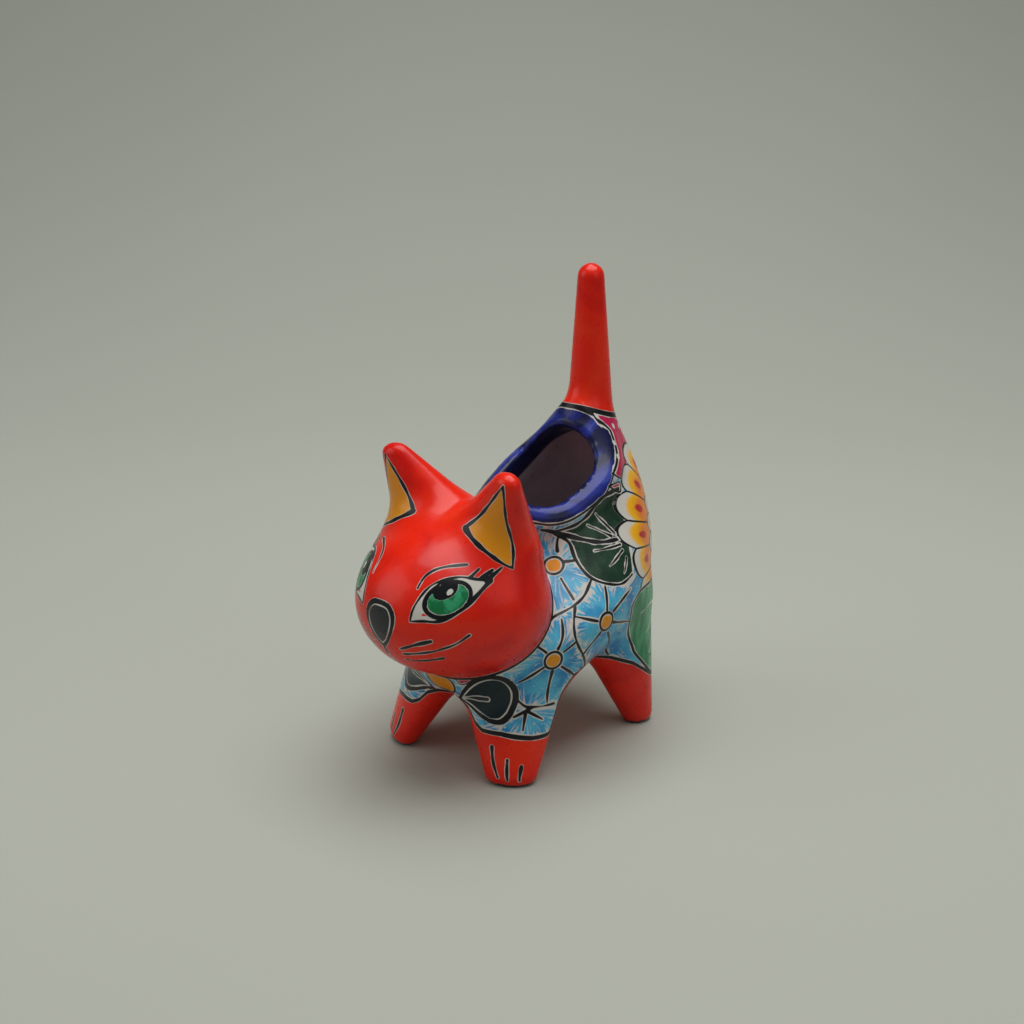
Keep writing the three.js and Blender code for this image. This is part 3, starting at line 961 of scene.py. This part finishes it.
def blended(glaze, colour, fills):
    for name, tone in fills.items():
        colour = glaze.mix(glaze.within(glaze.field(name)), colour, tone)
    return colour


def glazedClay():
    glaze = Glaze("paintedGlaze")
    brush = glaze.noise(38.0, 3.0, distortion=0.7)
    fine = glaze.noise(420.0, 3.0)
    combed = glaze.noise(260.0, 2.0, stretch=(1.0, 1.0, 0.25))
    green = glaze.mix(glaze.ramp(combed, 0.45, 0.68), colours["leaf"], colours["leafPale"])
    emerald = glaze.mix(glaze.ramp(combed, 0.44, 0.66), colours["emerald"], colours["emeraldPale"])
    emerald = glaze.mix(glaze.within(glaze.field("paleVein")), emerald, colours["white"])
    irisTone = glaze.mix(glaze.ramp(glaze.noise(300.0), 0.45, 0.6), colours["iris"], colours["irisPale"])
    redTone = glaze.mix(glaze.ramp(brush, 0.34, 0.5), colours["redDeep"], colours["red"])
    redTone = glaze.mix(glaze.ramp(brush, 0.56, 0.8), redTone, colours["redPale"])
    colour = petalPaint(glaze)
    high = {"leaf": green, "magenta": colours["magenta"], "flowerEye": colours["ochre"]}
    colour = blended(glaze, colour, high)
    colour = sunPaint(glaze, colour)
    low = {
        "emerald": emerald,
        "teal": colours["teal"],
        "slateFinger": colours["slate"],
        "ochre": colours["ochre"],
    }
    colour = blended(glaze, colour, low)
    colour = blended(glaze, colour, {"sock": redTone, "head": redTone, "tail": redTone})
    earAndEyes = {
        "eyeWhite": colours["white"],
        "redDot": colours["red"],
        "iris": irisTone,
        "slate": colours["slate"],
        "lip": colours["magenta"],
    }
    colour = blended(glaze, colour, earAndEyes)
    onEar = glaze.math("MULTIPLY", glaze.within(glaze.field("ochre")), glaze.within(glaze.field("head")))
    colour = glaze.mix(onEar, colour, colours["ochre"])
    streak = glaze.noise(90.0, 3.0, stretch=(1.0, 0.35, 1.0), distortion=1.0)
    blueTone = glaze.mix(glaze.ramp(streak, 0.4, 0.56), colours["navy"], colours["cobalt"])
    blueTone = glaze.mix(glaze.ramp(streak, 0.6, 0.8), blueTone, colours["cobaltPale"])
    inner = glaze.field("inner")
    hollowTone = glaze.mix(glaze.ramp(brush, 0.4, 0.7), colours["hollow"], colours["hollowDark"])
    colour = glaze.mix(glaze.within(glaze.field("rim")), colour, blueTone)
    colour = glaze.mix(glaze.within(inner), colour, colours["navy"])
    colour = glaze.mix(glaze.within(glaze.field("hollow"), 0.0, 0.5), colour, hollowTone)
    ink = glaze.field("ink")
    sockOrTail = glaze.math("MINIMUM", glaze.field("sock"), glaze.field("tail"))
    onRed = glaze.math("MINIMUM", glaze.field("head"), sockOrTail)
    spareWidth = glaze.ramp(glaze.noise(240.0, 2.0), 0.35, 0.65, 0.1, 0.5)
    spare = glaze.math("MULTIPLY", spareWidth, glaze.ramp(onRed, -0.4, 0.4, 0.55, 1.0))
    edged = glaze.math("SUBTRACT", ink, spare)
    colour = glaze.mix(glaze.within(edged), colour, colours["white"])
    colour = glaze.mix(glaze.within(ink), colour, colours["ink"])
    colour = blended(glaze, colour, {"gleam": colours["white"], "pale": colours["white"]})
    separate = glaze.tree.nodes.new("ShaderNodeSeparateXYZ")
    glaze.put(separate.inputs[0], glaze.coordinates)
    height = glaze.math("SUBTRACT", separate.outputs["Z"], glaze.math("MULTIPLY", fine, 0.0022))
    colour = glaze.mix(glaze.ramp(height, 0.0004, -0.0001), colour, colours["clay"])
    glaze.put(glaze.shader.inputs["Base Color"], colour)
    glaze.put(glaze.shader.inputs["Roughness"], glaze.ramp(fine, 0.3, 0.7, 0.26, 0.34))
    glaze.shader.inputs["IOR"].default_value = 1.42
    glaze.shader.inputs["Specular IOR Level"].default_value = 0.36
    glaze.shader.inputs["Coat Weight"].default_value = 0.12
    glaze.shader.inputs["Coat Roughness"].default_value = 0.1
    bump = glaze.tree.nodes.new("ShaderNodeBump")
    bump.inputs["Strength"].default_value = 0.3
    bump.inputs["Distance"].default_value = 0.0006
    glaze.put(bump.inputs["Height"], glaze.noise(95.0, 3.0))
    glaze.put(glaze.shader.inputs["Normal"], bump.outputs[0])
    glaze.put(glaze.shader.inputs["Coat Normal"], bump.outputs[0])
    return glaze.material


piece.data.materials.clear()
piece.data.materials.append(glazedClay())
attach(piece, "root")
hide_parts("cat_planter")
print("glazed")

# The studio: a pale sweep, soft light from above and the camera at the photograph's angle

studio = {
    "floorHalf": 4.0,
    "sweepAt": 1.4,
    "sweepRise": 2.5,
    "sweepRound": 1.0,
    "camera": (0.36374, -0.41441, 0.28138),
    "azimuth": 41.28,
    "pitch": 19.46,
    "lens": 57.5,
}


def sweepFloor():
    turn = math.radians(studio["azimuth"])
    half, back, rise = studio["floorHalf"], studio["sweepAt"], studio["sweepRise"]
    bm = bmesh.new()
    marks = [(-half, -half, 0), (half, -half, 0), (half, back, 0), (-half, back, 0)]
    floor = bm.faces.new([bm.verts.new(mark) for mark in marks])
    bm.normal_update()
    rear = [edge for edge in floor.edges if all(vert.co.y > back - 0.01 for vert in edge.verts)]
    raised = bmesh.ops.extrude_edge_only(bm, edges=rear)["geom"]
    wallVerts = [item for item in raised if isinstance(item, bmesh.types.BMVert)]
    bmesh.ops.translate(bm, verts=wallVerts, vec=(0, 0, rise))
    bmesh.ops.bevel(
        bm,
        geom=rear,
        offset=studio["sweepRound"],
        affect="EDGES",
        segments=24,
        profile=0.5,
        material=-1,
    )
    bmesh.ops.recalc_face_normals(bm, faces=bm.faces)
    mesh = bpy.data.meshes.new("sweep")
    bm.to_mesh(mesh)
    bm.free()
    mesh.shade_smooth()
    sweep = bpy.data.objects.new("sweep", mesh)
    sweep.rotation_euler = (0, 0, turn)
    bpy.context.collection.objects.link(sweep)
    paper = Glaze("sweepPaper")
    tone = paper.mix(paper.noise(3.0), paint(174, 176, 166), paint(169, 171, 160))
    paper.put(paper.shader.inputs["Base Color"], tone)
    paper.shader.inputs["Roughness"].default_value = 0.75
    mesh.materials.append(paper.material)


def areaLight(name, place, target, size, power, tone=(1.0, 1.0, 1.0)):
    light = bpy.data.lights.new(name, "AREA")
    light.shape = "RECTANGLE"
    light.size, light.size_y = size
    light.energy = power
    light.color = tone
    lamp = bpy.data.objects.new(name, light)
    lamp.location = place
    lamp.rotation_euler = (Vector(target) - Vector(place)).to_track_quat("-Z", "Y").to_euler()
    bpy.context.collection.objects.link(lamp)


def studioLight():
    areaLight("topSoftbox", (0.0, 0.12, 1.0), (0, 0.05, 0.05), (0.9, 0.9), 9.8)
    areaLight("leftSoftbox", (-0.8, -0.9, 0.7), (0, 0, 0.07), (0.9, 0.9), 3.2)
    areaLight("rightSoftbox", (1.2, 0.0, 0.8), (0, 0, 0.07), (0.9, 0.9), 1.5)
    world = bpy.data.worlds.new("studioAir")
    world.use_nodes = True
    background = world.node_tree.nodes["Background"]
    background.inputs["Color"].default_value = paint(210, 214, 210)
    background.inputs["Strength"].default_value = 0.29
    bpy.context.scene.world = world


def photoCamera():
    camera = bpy.data.cameras.new("photoCamera")
    camera.sensor_width = 36
    camera.lens = studio["lens"]
    holder = bpy.data.objects.new("photoCamera", camera)
    holder.location = studio["camera"]
    tilt = math.radians(90 - studio["pitch"])
    holder.rotation_euler = (tilt, 0, math.radians(studio["azimuth"]))
    bpy.context.collection.objects.link(holder)
    bpy.context.scene.camera = holder


sweepFloor()
studioLight()
photoCamera()
bpy.context.scene.view_settings.view_transform = "Standard"
print("studio set")
